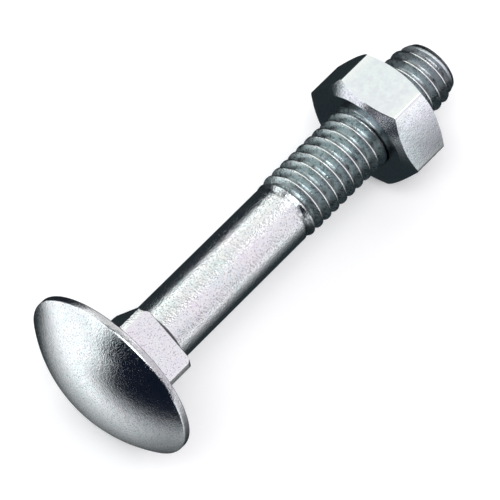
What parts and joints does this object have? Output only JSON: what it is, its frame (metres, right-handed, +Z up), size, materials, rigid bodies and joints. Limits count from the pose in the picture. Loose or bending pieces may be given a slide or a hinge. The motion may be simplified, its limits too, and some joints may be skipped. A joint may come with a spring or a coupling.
{
  "type": "carriage bolt with hex nut",
  "caption": "Carriage bolt with a domed head, square neck, reduced shank and coarse right-hand thread, its hex nut run part of the way on.",
  "frame": {"origin": "on the ground, under the middle of the bolt and nut as they lie", "axes": "+Z up, +X from the head towards the threaded end, whose axis slopes down by 4.8 degrees; the bolt rests on the rim of its head and on one flat of its nut"},
  "size_m": [0.0424, 0.0158, 0.0158],
  "materials": {
    "bolt_zinc": "bright zinc plate, passivated to a faint blue",
    "nut_zinc": "bright zinc plate, passivated to a faint blue"
  },
  "bodies": {
    "bolt": {"bolt": "bolt_zinc"},
    "nut": {"nut": "nut_zinc"}
  },
  "joints": [
    {"name": "nut_travel", "type": "slide", "parent": "bolt", "child": "nut", "axis": [0.9965, 0, -0.0833], "range_m": [-0.008, 0.009]}
  ]
}
